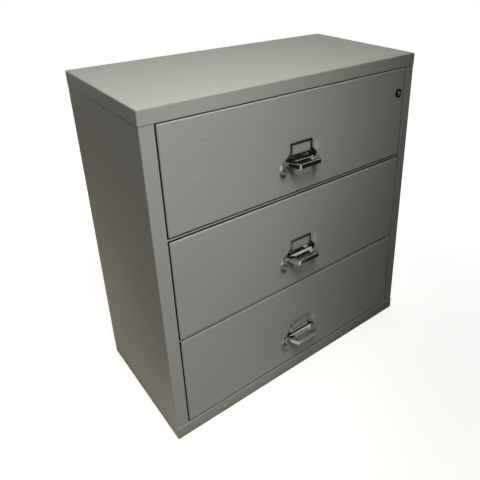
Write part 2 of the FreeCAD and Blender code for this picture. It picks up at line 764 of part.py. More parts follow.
# Handle: label frame, flared plate and a loop to pull on
def make_handle(drawer):
    name = f"{drawer.name}_handle"
    body = new_body(name)
    on_front = f"-{front_y}"
    top, low = drawer.handle_high, drawer.handle_low

    def sides(half):
        """The left and right of a width that straddles the middle of the handle."""
        return f"({handle_x} - {half})", f"({handle_x} + {half})"

    label_left, label_right = sides("Size.label_width / 2")
    pull_left, pull_right = sides("Size.pull_width / 2")
    neck = f"({top} - Size.label_height)"
    shoulder = f"({neck} - Size.flare_height)"
    plate = new_sketch(body, f"{name}_plate_outline", "XZ_Plane", on_front)
    outline(plate, [
        (label_left, top), (label_right, top), (label_right, neck), (pull_right, shoulder),
        (pull_right, low), (pull_left, low), (pull_left, shoulder), (label_left, neck),
    ])
    pad(body, f"{name}_plate", plate, "Size.plate_thickness")
    thick, crown = value("Size.plate_thickness"), value(top)
    round_edges(
        body,
        f"{name}_label_corners",
        lambda b: near(b.YLength, thick) and near(b.ZMin, crown) and near(b.ZMax, crown),
        "Size.label_corner_radius",
    )
    ear = new_sketch(body, f"{name}_ear_outline", "XZ_Plane", on_front)
    circle(ear, lever_x, drawer.lever_z, "Size.lever_ear_radius")
    pad(body, f"{name}_ear", ear, "Size.plate_thickness")
    window = new_sketch(body, f"{name}_window_outline", "XZ_Plane", on_front)
    window_top = f"({top} - Size.label_bar)"
    rectangle(window, (f"{label_left} + Size.label_bar", f"{window_top} - Size.window_height"),
              (f"{label_right} - Size.label_bar", window_top))
    circle(window, lever_x, drawer.lever_z, "Size.spindle_radius + Size.running_clearance")
    pocket(body, f"{name}_window", window, "Size.plate_thickness * 2")
    loop = new_sketch(body, f"{name}_loop_outline", "XY_Plane", low)
    bar_left, bar_right = sides("Size.pull_front_width / 2")
    neck_y, nose = f"({front_y} - Size.pull_neck)", f"({front_y} - Size.pull_reach)"
    outline(loop, [(pull_left, front_y), (pull_left, neck_y), (bar_left, nose), (bar_right, nose),
                   (pull_right, neck_y), (pull_right, front_y)])
    ledge = f"({front_y} - Size.pull_ledge)"
    gap_nose = f"({nose} + Size.pull_wall)"
    gap_left, gap_right = sides("Size.gap_front_width / 2")
    back_left, back_right = sides("Size.gap_back_width / 2")
    outline(loop, [(back_left, ledge), (gap_left, gap_nose), (gap_right, gap_nose), (back_right, ledge)])
    pad(body, f"{name}_loop", loop, "Size.pull_height")
    tall, tip = value("Size.pull_height"), value(nose)
    round_edges(
        body,
        f"{name}_loop_corners",
        lambda b: near(b.ZLength, tall) and near(b.YMax, tip),
        "Size.pull_corner_radius",
    )
    holes = new_sketch(body, f"{name}_screw_outline", "XZ_Plane", on_front)
    for sign in "-+":
        circle(holes, f"{handle_x} {sign} Size.screw_spread / 2", f"{low} + Size.pull_height / 2",
               "Size.screw_radius + Size.running_clearance")
    pocket(body, f"{name}_screw_holes", holes, "Size.screw_grip")
    keep(body)


# Handle screws: driven from inside the front pan
def make_handle_screws(drawer):
    name = f"{drawer.name}_handle_screws"
    height = f"({drawer.handle_low} + Size.pull_height / 2)"
    screws = []
    for side, sign in (("left", "-"), ("right", "+")):
        where = f"{handle_x} {sign} Size.screw_spread / 2"
        tip = f"({front_y} - Size.screw_grip + Size.running_clearance)"
        shank = cylinder(f"{name}_shank_{side}", "Y", (where, tip, height),
                         f"{skin_y} - {tip}", "Size.screw_radius")
        head = cylinder(f"{name}_head_{side}", "Y", (where, skin_y, height),
                        "Size.screw_head_height", "Size.screw_head_radius")
        screws.append(fuse(f"{name}_{side}", shank, head))
    keep(group(name, *screws))


# Thumb lever: tab and stem outside, spindle through the front, crank and drive pin inside
def make_thumb_lever(drawer):
    name = f"{drawer.name}_thumb_lever"
    z = drawer.lever_z
    stem_back = f"({front_y} - Size.plate_thickness - Size.stem_gap)"
    stem_front = f"({stem_back} - Size.stem_thickness)"
    half = "Size.stem_width / 2"
    foot = f"({z} - Size.stem_length)"
    spindle = cylinder(f"{name}_spindle", "Y", (lever_x, stem_front, z),
                       f"{crank_back} - {stem_front}", "Size.spindle_radius")
    stem = box(f"{name}_stem", (f"{lever_x} - {half}", stem_front, foot),
               (f"{lever_x} + {half}", stem_back, f"{z} + Size.spindle_radius"))
    tab = box(f"{name}_tab", (f"{lever_x} + {half} - Size.tab_length", f"{stem_back} - Size.tab_depth", foot),
              (f"{lever_x} + {half}", stem_back, f"{foot} + Size.tab_thickness"))
    wide = "Size.crank_width / 2"
    crank = box(f"{name}_crank", (f"{lever_x} - {wide}", crank_y, f"{drawer.rod_z} - {wide}"),
                (f"{lever_x} + {wide}", crank_back, f"{z} + {wide}"))
    pin = cylinder(f"{name}_pin", "Y", (lever_x, crank_y, drawer.rod_z),
                   f"{rod_back} - {crank_y}", "Size.drive_pin_radius")
    keep(fuse(name, spindle, stem, tab, crank, pin))


# Latch rod: a flat bar from the crank to the left edge of the front
def make_latch_rod(drawer):
    name = f"{drawer.name}_latch_rod"
    half = "Size.rod_height / 2"
    bar = box(f"{name}_bar", (f"-{front_x}", rod_y, f"{drawer.rod_z} - {half}"),
              (f"{lever_x} + Size.rod_end_margin", rod_back, f"{drawer.rod_z} + {half}"))
    wide = "(Size.drive_pin_radius + Size.drive_pin_play)"
    slot = box(
        f"{name}_slot",
        (f"{lever_x} - {wide}", f"{rod_y} - Size.rod_play", f"{drawer.rod_z} - Size.drive_slot_height / 2"),
        (f"{lever_x} + {wide}", f"{rod_back} + Size.rod_play",
         f"{drawer.rod_z} + Size.drive_slot_height / 2"),
    )
    keep(cut(name, bar, slot))


# Lock on the top drawer: barrel, and a plug whose cam lifts the lock bar
def make_lock():
    flange_y = f"({front_y} - Size.lock_flange_thickness)"
    flange = cylinder("lock_flange", "Y", (lock_x, flange_y, lock_z),
                      "Size.lock_flange_thickness", "Size.lock_flange_radius")
    barrel = cylinder("lock_body", "Y", (lock_x, front_y, lock_z), f"{head_y} - {front_y}",
                      "Size.lock_body_radius")
    bore = cylinder("lock_bore", "Y", (lock_x, f"{flange_y} - Size.sheet", lock_z),
                    f"{head_y} - {flange_y} + Size.sheet * 2", "Size.lock_plug_radius")
    keep(cut("lock_barrel", fuse("lock_barrel_block", flange, barrel), bore))
    plug_y = f"({flange_y} - Size.lock_plug_stand)"
    cam_back = f"({lug_y} + Size.cam_thickness)"
    core = cylinder("lock_core", "Y", (lock_x, plug_y, lock_z), f"{cam_back} - {plug_y}",
                    "Size.lock_plug_radius - Size.running_clearance")
    half = "Size.cam_width / 2"
    cam = box("lock_cam", (f"{lock_x} - {half}", lug_y, f"{lock_z} - Size.cam_length"),
              (f"{lock_x} + {half}", cam_back, lock_z))
    keyway = box(
        "lock_keyway",
        (f"{lock_x} - Size.keyway_width / 2", f"{plug_y} - Size.sheet", f"{lock_z} - Size.keyway_height / 2"),
        (f"{lock_x} + Size.keyway_width / 2", f"{plug_y} + Size.keyway_depth",
         f"{lock_z} + Size.keyway_height / 2"),
    )
    keep(cut("lock_plug", fuse("lock_plug_block", core, cam), keyway))


# Lock bar: slides in the right wall, with a lug for each drawer and a pin over the cam
def make_lock_bar():
    strip = box("lock_bar_strip", (bar_x, bar_y, bar_low), (bar_out_x, bar_back, bar_high))
    lug_x = f"({jamb_x} - Size.lug_reach)"
    lugs = [
        box(f"lock_bar_lug_{i}", (lug_x, lug_y, d.lug_low), (bar_out_x, lug_back, d.lug_high))
        for i, d in enumerate(drawers, 1)
    ]
    pin_x = f"({jamb_x} - Size.bar_pin_reach)"
    pin = cylinder("lock_bar_pin", "X", (pin_x, bar_pin_y, bar_pin_z), f"{bar_out_x} - {pin_x}",
                   "Size.bar_pin_radius")
    keep(fuse("lock_bar", strip, pin, *lugs))


# Bumpers: rubber stops on the back of each liner
def make_bumpers():
    stops = []
    for drawer in drawers:
        for side, sign in (("left", "-"), ("right", "")):
            start = f"({tray_back} + Size.bumper_gap)"
            stops.append(cylinder(
                f"{drawer.name}_bumper_{side}", "Y",
                (f"{sign}({tray_x} - Size.bumper_inset)", start,
                 f"{drawer.tray_low} + Size.bumper_rise"),
                f"{space_back} - {start}", "Size.bumper_radius",
            ))
    keep(group("drawer_bumpers", *stops))


make_carcass()
make_insulation()
for number, drawer in enumerate(drawers, start=1):
    make_liner(number, drawer)
    make_front(drawer)
    make_head_insulation(drawer)
    make_head_pan(drawer)
    make_tray(drawer)
    make_folder_rails(drawer)
    make_slides(drawer)
    make_handle(drawer)
    make_handle_screws(drawer)
    make_thumb_lever(drawer)
    make_latch_rod(drawer)
make_lock()
make_lock_bar()
make_bumpers()
doc.recompute()

# Nothing is written unless every object is sound
for item in doc.Objects:
    if {"Invalid", "Error"} & set(item.State):
        raise RuntimeError(f"{item.Label} failed: {item.State}")
for piece in pieces:
    if piece.Shape.isNull() or not piece.Shape.isValid():
        raise RuntimeError(f"{piece.Label} has no sound shape")

os.makedirs("parts", exist_ok=True)
for piece in pieces:
    piece.Shape.exportStep(f"parts/{piece.Label}.step")
print(f"{len(pieces)} sub-parts written")
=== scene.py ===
# %% [markdown]
# # A three-drawer insulated file cabinet
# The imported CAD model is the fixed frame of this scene. Its sheet-metal pieces are right as they are,
# so they only need finishes. The polished pulls, their thumb levers and the lock are shaped again here,
# with rounded edges that catch the light, and each of them moves with the body that it belongs to.

# %% Load the frame
import math

import bmesh
import bpy
from mathutils import Euler, Matrix, Vector


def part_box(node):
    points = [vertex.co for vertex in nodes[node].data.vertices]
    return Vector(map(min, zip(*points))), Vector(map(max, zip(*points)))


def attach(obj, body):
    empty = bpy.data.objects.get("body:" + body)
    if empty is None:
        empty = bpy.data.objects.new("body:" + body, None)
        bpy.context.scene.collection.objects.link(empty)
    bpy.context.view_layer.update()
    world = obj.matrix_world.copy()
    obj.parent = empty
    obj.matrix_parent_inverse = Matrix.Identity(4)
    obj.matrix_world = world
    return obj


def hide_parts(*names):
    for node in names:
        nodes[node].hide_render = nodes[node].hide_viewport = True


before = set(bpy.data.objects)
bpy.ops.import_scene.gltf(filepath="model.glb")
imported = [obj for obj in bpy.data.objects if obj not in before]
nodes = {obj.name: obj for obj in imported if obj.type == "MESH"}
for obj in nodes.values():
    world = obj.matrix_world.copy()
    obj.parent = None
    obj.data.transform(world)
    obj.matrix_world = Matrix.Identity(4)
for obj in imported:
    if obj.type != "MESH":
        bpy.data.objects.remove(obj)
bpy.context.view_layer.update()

scene = bpy.context.scene
drawers = (1, 2, 3)
mm = 0.001

# %% [markdown]
# ## The camera
# The picture was taken from above the left front corner of the cabinet and cropped afterwards. A lens
# shift gives that crop without turning the camera, so the upright edges lean as they do in the picture.

# %% Camera
image_pixels = 480
focal_pixels = 511.8
sensor_width = 36.0
camera_place = Vector((-0.8856, -1.2660, 1.3637))
camera_heading, camera_pitch, camera_roll = (math.radians(a) for a in (39.61, -24.32, 0.10))
lens_shift = (-0.112, -0.150)
camera_data = bpy.data.cameras.new("photo_camera")
camera_data.sensor_width = sensor_width
camera_data.lens = sensor_width * focal_pixels / image_pixels
camera_data.shift_x, camera_data.shift_y = lens_shift
camera = bpy.data.objects.new("photo_camera", camera_data)
camera_turn = Euler((math.pi / 2 + camera_pitch, 0, -camera_heading)).to_matrix()
camera_turn = camera_turn @ Matrix.Rotation(camera_roll, 3, "Z")
camera.matrix_world = Matrix.Translation(camera_place) @ camera_turn.to_4x4()
scene.collection.objects.link(camera)
scene.camera = camera
scene.view_settings.view_transform = "Standard"
print("lens:", round(camera_data.lens, 2), "mm")

# %% [markdown]
# ## The stage
# A pale floor and a white world stand in for a studio. The floor glows a little for the rays that look
# at it directly, so it reads as white, and it still takes the soft shadow of the cabinet.

# %% Seen rays
def seen_rays(tree):
    """One for camera, glossy and transmission rays, and nought for the diffuse rays that carry light."""
    path = tree.nodes.new("ShaderNodeLightPath")
    total = path.outputs["Is Camera Ray"]
    for kind in ("Is Glossy Ray", "Is Transmission Ray"):
        add = tree.nodes.new("ShaderNodeMath")
        add.operation = "ADD"
        add.use_clamp = True
        tree.links.new(total, add.inputs[0])
        tree.links.new(path.outputs[kind], add.inputs[1])
        total = add.outputs[0]
    return total


# %% World
ambient_colour = (1.0, 0.97, 0.92, 1)
ambient_strength = 0.05
world = bpy.data.worlds.new("studio")
scene.world = world
world.use_nodes = True
tree = world.node_tree
dim = tree.nodes["Background"]
dim.inputs["Color"].default_value = ambient_colour
dim.inputs["Strength"].default_value = ambient_strength
bright = tree.nodes.new("ShaderNodeBackground")
bright.inputs["Color"].default_value = (1, 1, 1, 1)
bright.inputs["Strength"].default_value = 1.0
choice = tree.nodes.new("ShaderNodeMixShader")
tree.links.new(seen_rays(tree), choice.inputs["Fac"])
tree.links.new(dim.outputs[0], choice.inputs[1])
tree.links.new(bright.outputs[0], choice.inputs[2])
tree.links.new(choice.outputs[0], tree.nodes["World Output"].inputs["Surface"])
print("ambient strength:", ambient_strength)

# %% Floor
range_sockets = ("From Min", "From Max", "To Min", "To Max")


def by_reach(tree, near, far, near_amount, far_amount, centre=(0, 0, 0), turn=0.0, half_size=(1, 1, 1)):
    """An amount that changes from the middle of an ellipse on the stage outwards."""
    place = tree.nodes.new("ShaderNodeTexCoord")
    ellipse = tree.nodes.new("ShaderNodeMapping")
    ellipse.vector_type = "TEXTURE"
    ellipse.inputs["Location"].default_value = centre
    ellipse.inputs["Rotation"].default_value = (0, 0, turn)
    ellipse.inputs["Scale"].default_value = half_size
    tree.links.new(place.outputs["Object"], ellipse.inputs["Vector"])
    reach = tree.nodes.new("ShaderNodeVectorMath")
    reach.operation = "LENGTH"
    tree.links.new(ellipse.outputs["Vector"], reach.inputs[0])
    span = tree.nodes.new("ShaderNodeMapRange")
    span.interpolation_type = "SMOOTHSTEP"
    for socket, limit in zip(range_sockets, (near, far, near_amount, far_amount)):
        span.inputs[socket].default_value = limit
    tree.links.new(reach.outputs["Value"], span.inputs["Value"])
    return span.outputs["Result"]


floor_half = 6.0
floor_colour = (0.35, 0.34, 0.32, 1)
near_glow, far_glow = 0.80, 1.0
near_reach, far_reach = 0.7, 1.8
floor_material = bpy.data.materials.new("stage_floor")
floor_material.use_nodes = True
tree = floor_material.node_tree
tree.nodes.remove(tree.nodes["Principled BSDF"])
matt = tree.nodes.new("ShaderNodeBsdfDiffuse")
matt.inputs["Color"].default_value = floor_colour
glow = tree.nodes.new("ShaderNodeEmission")
strength = tree.nodes.new("ShaderNodeMath")
strength.operation = "MULTIPLY"
tree.links.new(seen_rays(tree), strength.inputs[0])
tree.links.new(by_reach(tree, near_reach, far_reach, near_glow, far_glow), strength.inputs[1])
tree.links.new(strength.outputs[0], glow.inputs["Strength"])
both = tree.nodes.new("ShaderNodeAddShader")
tree.links.new(matt.outputs[0], both.inputs[0])
tree.links.new(glow.outputs[0], both.inputs[1])
tree.links.new(both.outputs[0], tree.nodes["Material Output"].inputs["Surface"])


def stage_sheet(name, centre, half_x, half_y, material, turn=0.0):
    """A flat sheet of the stage, lying level and turned about the vertical."""
    shape = bmesh.new()
    bmesh.ops.create_grid(shape, x_segments=1, y_segments=1, size=1)
    bmesh.ops.scale(shape, vec=(half_x, half_y, 1), verts=shape.verts)
    bmesh.ops.rotate(shape, cent=(0, 0, 0), matrix=Matrix.Rotation(turn, 3, "Z"), verts=shape.verts)
    bmesh.ops.translate(shape, vec=centre, verts=shape.verts)
    mesh = bpy.data.meshes.new(name)
    shape.to_mesh(mesh)
    shape.free()
    mesh.materials.append(material)
    sheet = bpy.data.objects.new(name, mesh)
    scene.collection.objects.link(sheet)
    return sheet


floor_level = -0.5 * mm
floor = stage_sheet("floor", (0, 0, floor_level), floor_half, floor_half, floor_material)
print(floor.name, "half-width:", floor_half, "m")

# %% [markdown]
# ## Something dark for the metal to mirror
# Polished metal is only as interesting as the room around it, and in a white room it turns white. A
# photographer sets dark cards round it. One lies on the floor and one curves round the front, and only
# glossy rays see them. The floor card has a few openings: a pool of light before the cabinet, which the
# lowest pull mirrors most, and brighter ones further out, which give the rounded corners of every pull
# their highlight.

# %% Dark cards
card_colour = (0.020, 0.018, 0.012, 1)
card_level = 2 * mm
card_half = 5.0
opening_tint = (1.0, 0.95, 0.87, 1)
# Each opening has its middle, its turn in degrees, its half size, where it starts to close, and how dark
# it is in the middle.
openings = (
    ((-0.30, -0.30, 0), 0.0, (0.75, 0.60, 1), 0.0, 0.35),
    ((0.36, -1.62, 0), 15.0, (0.42, 1.10, 1), 0.6, 0.0),
    ((-0.83, -0.99, 0), -49.0, (0.42, 1.15, 1), 0.6, 0.0),
    ((-0.45, -1.90, 0), 15.0, (0.70, 0.32, 1), 0.6, 0.0),
)


def card_material(name, open_share=None):
    """A dull dark card, whole or with the openings that a share of card gives."""
    material = bpy.data.materials.new(name)
    material.use_nodes = True
    tree = material.node_tree
    tree.nodes.remove(tree.nodes["Principled BSDF"])
    dark = tree.nodes.new("ShaderNodeEmission")
    dark.inputs["Color"].default_value = card_colour
    clear = tree.nodes.new("ShaderNodeBsdfTransparent")
    clear.inputs["Color"].default_value = opening_tint
    mixed = tree.nodes.new("ShaderNodeMixShader")
    mixed.inputs["Fac"].default_value = 1.0
    if open_share:
        tree.links.new(open_share(tree), mixed.inputs["Fac"])
    tree.links.new(clear.outputs[0], mixed.inputs[1])
    tree.links.new(dark.outputs[0], mixed.inputs[2])
    tree.links.new(mixed.outputs[0], tree.nodes["Material Output"].inputs["Surface"])
    return material


def seen_only_by(sheet, kept):
    """Hides a card from all rays but one kind."""
    for kind in ("camera", "diffuse", "glossy", "transmission", "volume_scatter", "shadow"):
        setattr(sheet, "visible_" + kind, kind == kept)


def open_floor(tree):
    """How dark the floor card is: the least that its openings leave."""
    shares = [by_reach(tree, near, 1.0, share, 1.0, centre, math.radians(turn), half_size)
              for centre, turn, half_size, near, share in openings]
    least = shares[0]
    for share in shares[1:]:
        lower = tree.nodes.new("ShaderNodeMath")
        lower.operation = "MINIMUM"
        tree.links.new(least, lower.inputs[0])
        tree.links.new(share, lower.inputs[1])
        least = lower.outputs[0]
    return least


floor_card = stage_sheet("floor_card", (0, 0, card_level), card_half, card_half,
                         card_material("floor_card", open_floor))
seen_only_by(floor_card, "glossy")
print(floor_card.name, "openings:", len(openings))

# %% Curved card
curve_radius = 3.5
curve_height = 3.6
curve_start, curve_turn = (math.radians(a) for a in (15, -210))
curve_steps = 32
shape = bmesh.new()
foot = Vector((math.cos(curve_start), math.sin(curve_start), 0)) * curve_radius
ends = [shape.verts.new(foot + Vector((0, 0, z))) for z in (card_level, curve_height)]
line = shape.edges.new(ends)
bmesh.ops.spin(shape, geom=ends + [line], cent=(0, 0, 0), axis=(0, 0, 1), angle=curve_turn,
               steps=curve_steps)
mesh = bpy.data.meshes.new("curved_card")
shape.to_mesh(mesh)
shape.free()
mesh.materials.append(card_material("curved_card"))
curved_card = bpy.data.objects.new("curved_card", mesh)
scene.collection.objects.link(curved_card)
seen_only_by(curved_card, "glossy")
print(curved_card.name, "height:", curve_height, "m")

# %% [markdown]
# ## The lamps
# One lamp stands high at the left front and falls off across the drawers, a warm one hangs overhead, a
# weak one near the floor lifts the left side, which would otherwise be lost, and three light the back
# and the right side for the views from there. A flag, which is a photographer's word for a card that
# only casts shade, hangs below the first lamp and takes some of its light off the lower right corner.

# %% Lamps
def soft_lamp(name, place, target, size, power, colour=(1, 1, 1), beam=180):
    """A square area lamp that looks at a point, with its beam in degrees."""
    data = bpy.data.lights.new(name, "AREA")
    data.size = size
    data.spread = math.radians(beam)
    data.energy = power
    data.color = colour
    lamp = bpy.data.objects.new(name, data)
    aim = (Vector(target) - Vector(place)).to_track_quat("-Z", "Y")
    lamp.matrix_world = Matrix.Translation(place) @ aim.to_matrix().to_4x4()
    lamp.visible_glossy = False
    scene.collection.objects.link(lamp)
    print("lamp", name, power, "W")


soft_lamp("key_lamp", place=(-0.6, -1.4, 2.4), target=(-0.45, -0.2, 0.45), size=0.9, power=6.45, beam=62)
soft_lamp("top_lamp", place=(-0.2, -0.5, 1.9), target=(-0.2, -0.3, 1.0), size=0.8, power=2.7,
          colour=(1.0, 0.95, 0.45))
soft_lamp("side_lamp", place=(-1.25, 0.35, 0.1), target=(-0.5, 0.05, 0.1), size=0.5, power=3.3,
          colour=(1.0, 0.845, 0.68))
soft_lamp("back_lamp", place=(1.6, 1.9, 1.7), target=(0.2, 0.2, 0.5), size=1.2, power=14.0)
soft_lamp("low_back_lamp", place=(0.1, 2.2, 0.55), target=(0.0, 0.24, 0.5), size=0.8, power=6.5, beam=90)
soft_lamp("low_right_lamp", place=(2.4, 0.25, 0.55), target=(0.47, 0.1, 0.5), size=0.8, power=5.5,
          beam=70)

# %% Flag
flag_centre = (0.19, -0.915, 1.3)
flag_half_long, flag_half_wide = 0.39, 0.165
flag_turn = math.radians(30)
flag = stage_sheet("flag", flag_centre, flag_half_long, flag_half_wide, card_material("flag"), flag_turn)
seen_only_by(flag, "shadow")
print("flag height:", flag_centre[2], "m")

# %% [markdown]
# ## A small kit for finishes
# Every finish is a node tree on Object coordinates, in metres, so a grain stays the same size on every
# piece.

# %% Finish kit
# A colour mix has its share, first and second colour at these inputs, and its colour at this output.
mix_share, mix_first, mix_second, mix_colour = 0, 6, 7, 2
# How far the rounded normal agrees with the plain one, on an edge and on a flat.
edge_match, flat_match = 0.86, 0.99


class Finish:
    """A procedural material and short ways to add nodes to it."""

    def __init__(self, name, **constants):
        self.material = bpy.data.materials.new(name)
        self.material.use_nodes = True
        self.tree = self.material.node_tree
        self.shader = self.tree.nodes["Principled BSDF"]
        self.place = self.node("ShaderNodeTexCoord").outputs["Object"]
        for socket, amount in constants.items():
            self.shader.inputs[socket.replace("_", " ")].default_value = amount

    def node(self, kind, **settings):
        made = self.tree.nodes.new(kind)
        for name, setting in settings.items():
            setattr(made, name, setting)
        return made

    def feed(self, socket, source):
        """Links an output, or sets a plain number or colour."""
        if isinstance(source, bpy.types.NodeSocket):
            self.tree.links.new(source, socket)
        else:
            socket.default_value = source

    def noise(self, size, detail=2.0, stretch=(1, 1, 1)):
        """Noise with features about size metres across, drawn out along an axis by its factor."""
        mapping = self.node("ShaderNodeMapping")
        mapping.inputs["Scale"].default_value = [1 / (size * factor) for factor in stretch]
        self.feed(mapping.inputs["Vector"], self.place)
        texture = self.node("ShaderNodeTexNoise")
        texture.inputs["Scale"].default_value = 1.0
        texture.inputs["Detail"].default_value = detail
        self.feed(texture.inputs["Vector"], mapping.outputs["Vector"])
        return texture.outputs["Fac"]

    def cells(self, size):
        """Cell pattern with cells about size metres across."""
        texture = self.node("ShaderNodeTexVoronoi")
        texture.inputs["Scale"].default_value = 1 / size
        self.feed(texture.inputs["Vector"], self.place)
        return texture.outputs["Distance"]

    def spread(self, source, low, high, to_low=0.0, to_high=1.0):
        """Maps low..high to to_low..to_high, softly and clamped."""
        span = self.node("ShaderNodeMapRange", interpolation_type="SMOOTHSTEP")
        self.feed(span.inputs["Value"], source)
        for socket, amount in zip(range_sockets, (low, high, to_low, to_high)):
            span.inputs[socket].default_value = amount
        return span.outputs["Result"]

    def sums(self, operation, first, second):
        """One step of arithmetic on two values."""
        step = self.node("ShaderNodeMath", operation=operation)
        self.feed(step.inputs[0], first)
        self.feed(step.inputs[1], second)
        return step.outputs[0]

    def mix(self, share, first, second):
        """Mixes two colours by a share."""
        blended = self.node("ShaderNodeMix", data_type="RGBA")
        self.feed(blended.inputs[mix_share], share)
        self.feed(blended.inputs[mix_first], first)
        self.feed(blended.inputs[mix_second], second)
        return blended.outputs[mix_colour]

    def spot(self, centre, radii, inner=0.3):
        """One inside an ellipsoid at centre, fading to nought at its surface."""
        away = self.node("ShaderNodeVectorMath", operation="SUBTRACT")
        self.feed(away.inputs[0], self.place)
        away.inputs[1].default_value = centre
        shrink = self.node("ShaderNodeVectorMath", operation="DIVIDE")
        self.feed(shrink.inputs[0], away.outputs[0])
        shrink.inputs[1].default_value = radii
        reach = self.node("ShaderNodeVectorMath", operation="LENGTH")
        self.feed(reach.inputs[0], shrink.outputs[0])
        return self.spread(reach.outputs["Value"], inner, 1.0, 1.0, 0.0)

    def along(self, axis):
        """The place along X, Y or Z, in metres."""
        split = self.node("ShaderNodeSeparateXYZ")
        self.feed(split.inputs[0], self.place)
        return split.outputs[axis]

    def edges(self, radius):
        """One along sharp edges, nought on the flats, and the normal of edges rounded by that radius."""
        rounded = self.node("ShaderNodeBevel", samples=6)
        rounded.inputs["Radius"].default_value = radius
        plain = self.node("ShaderNodeNewGeometry")
        match = self.node("ShaderNodeVectorMath", operation="DOT_PRODUCT")
        self.feed(match.inputs[0], rounded.outputs["Normal"])
        self.feed(match.inputs[1], plain.outputs["Normal"])
        edge = self.spread(match.outputs["Value"], edge_match, flat_match, 1.0, 0.0)
        return edge, rounded.outputs["Normal"]

    def crevices(self, reach):
        """How open a point is to its surroundings within a reach."""
        openness = self.node("ShaderNodeAmbientOcclusion", samples=8)
        openness.inputs["Distance"].default_value = reach
        return openness.outputs["AO"]

    def bump(self, height, strength, distance, normal=None):
        """Feeds the shader's normal from a height."""
        made = self.node("ShaderNodeBump")
        made.inputs["Strength"].default_value = strength
        made.inputs["Distance"].default_value = distance
        self.feed(made.inputs["Height"], height)
        if normal is not None:
            self.feed(made.inputs["Normal"], normal)
        self.feed(self.shader.inputs["Normal"], made.outputs["Normal"])


# %% [markdown]
# ## Grey enamel
# The sheet steel has a warm grey semi-gloss enamel. Sprayed enamel is never quite even: its tone drifts
# over a hand's width, it has a fine orange peel, hands and cloths leave it glossier in places, the
# edges wear a little lighter, and dust gathers near the floor. Painted shade darkens the seams nearly to
# black, as shade falls in them, less so at the right end, where the gaps are lit.

# %% Enamel
enamel_grey = (0.358, 0.364, 0.345, 1)
enamel_light = (0.428, 0.434, 0.414, 1)
enamel_dark = (0.322, 0.328, 0.309, 1)
worn_edge = (0.47, 0.465, 0.44, 1)
floor_dust = (0.25, 0.225, 0.19, 1)
# The colour of the painted shade in the seams.
painted_seam_shade = (0.014, 0.013, 0.011, 1)
enamel_specular = 0.3
drift_size, drift_share = 0.22, 0.22
speckle_size, speckle_share = 1.4 * mm, 0.14
edge_round, rub_size, rub_share = 1.6 * mm, 18 * mm, 0.75
# How far the painted seam shade reaches, how dark it gets, and where it fades towards the right end.
seam_shade_reach, seam_shade_share = 14 * mm, 0.98
shade_fade_from, shade_fade_to, shade_fade_share = 0.40, 0.425, 0.4
dust_size, dust_ragged, dust_share = 30 * mm, 0.05, 0.55
dust_low, dust_high = -0.02, 0.03
handled_size, handled_change = 60 * mm, 0.02
peel_size, peel_strength, peel_depth = 2.2 * mm, 0.10, 0.25 * mm


def enamel(name, roughness=0.42, dusty=True):
    """The cabinet's paint, and the colour output that marks may still be laid over."""
    paint = Finish(name, Specular_IOR_Level=enamel_specular)
    drift = paint.spread(paint.noise(drift_size, 3.0), 0.3, 0.7, 0.0, drift_share)
    colour = paint.mix(drift, enamel_grey, enamel_dark)
    speckle = paint.spread(paint.noise(speckle_size, 1.0), 0.35, 0.65, 0.0, speckle_share)
    colour = paint.mix(speckle, colour, enamel_light)
    edge, rounded = paint.edges(edge_round)
    uneven = paint.spread(paint.noise(rub_size, 3.0), 0.42, 0.68, 0.0, rub_share)
    colour = paint.mix(paint.sums("MULTIPLY", edge, uneven), colour, worn_edge)
    # Painted shade: the crevices are darkened nearly to black, as shade falls in them, and less so at
    # the right end, where the gaps are lit.
    seam_shade = paint.spread(paint.crevices(seam_shade_reach), 0.40, 0.82, seam_shade_share, 0.0)
    shade_kept = paint.spread(paint.along("X"), shade_fade_from, shade_fade_to, 1.0, shade_fade_share)
    colour = paint.mix(paint.sums("MULTIPLY", seam_shade, shade_kept), colour, painted_seam_shade)
    if dusty:
        ragged = paint.sums("MULTIPLY", paint.noise(dust_size, 4.0), dust_ragged)
        level = paint.sums("SUBTRACT", paint.along("Z"), ragged)
        colour = paint.mix(paint.spread(level, dust_low, dust_high, dust_share, 0.0), colour, floor_dust)
    handled = paint.spread(paint.noise(handled_size, 4.0), 0.3, 0.7,
                           roughness - handled_change, roughness + handled_change)
    paint.feed(paint.shader.inputs["Roughness"], handled)
    paint.bump(paint.noise(peel_size, 1.0), peel_strength, peel_depth, rounded)
    return paint, colour


def finish_colour(paint, colour):
    """Feeds the last colour to the shader and gives the material."""
    paint.feed(paint.shader.inputs["Base Color"], colour)
    return paint.material


cabinet_paint = finish_colour(*enamel("cabinet_enamel"))
inner_paint = finish_colour(*enamel("inner_enamel", roughness=0.5, dusty=False))
print("paints:", cabinet_paint.name, inner_paint.name)

# %% [markdown]
# ## Marks and painted reflections on the drawer fronts
# Each drawer has a lighter patch of painted reflected light beside the thumb lever, where the lever's
# tab throws light onto the front, and a pale painted reflection at the right of the label frame. The top
# drawer has a scratch and a faint scuff at its left. Each mark is a soft ellipsoid placed on the front,
# so it stays put when the drawer moves. The base has the brown marks that shoes leave, and a chip.

# %% Drawer front paint
front_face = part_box("drawer_1_front")[0].y
# A light colour for the top drawer's scuff and for the painted reflected light on each front.
scuff_and_reflection_light = (0.74, 0.755, 0.75, 1)
scratch_dark = (0.20, 0.20, 0.185, 1)
# Where the painted reflections lie beside the lever and at the label frame.
lever_reflection_shift, lever_reflection_radii = Vector((8, 0, 14)) * mm, Vector((11, 8, 14)) * mm
frame_reflection_shift, frame_reflection_radii, frame_reflection_share = Vector((3, 0, -28)) * mm, Vector((15, 8, 28)) * mm, 0.42
scratch_x, scratch_z, scratch_radii, scratch_share = -0.325, 0.9145, Vector((42, 5, 1.6)) * mm, 0.45
scuff_x, scuff_z, scuff_radii, scuff_share = -0.339, 0.8257, Vector((40, 5, 6)) * mm, 0.10


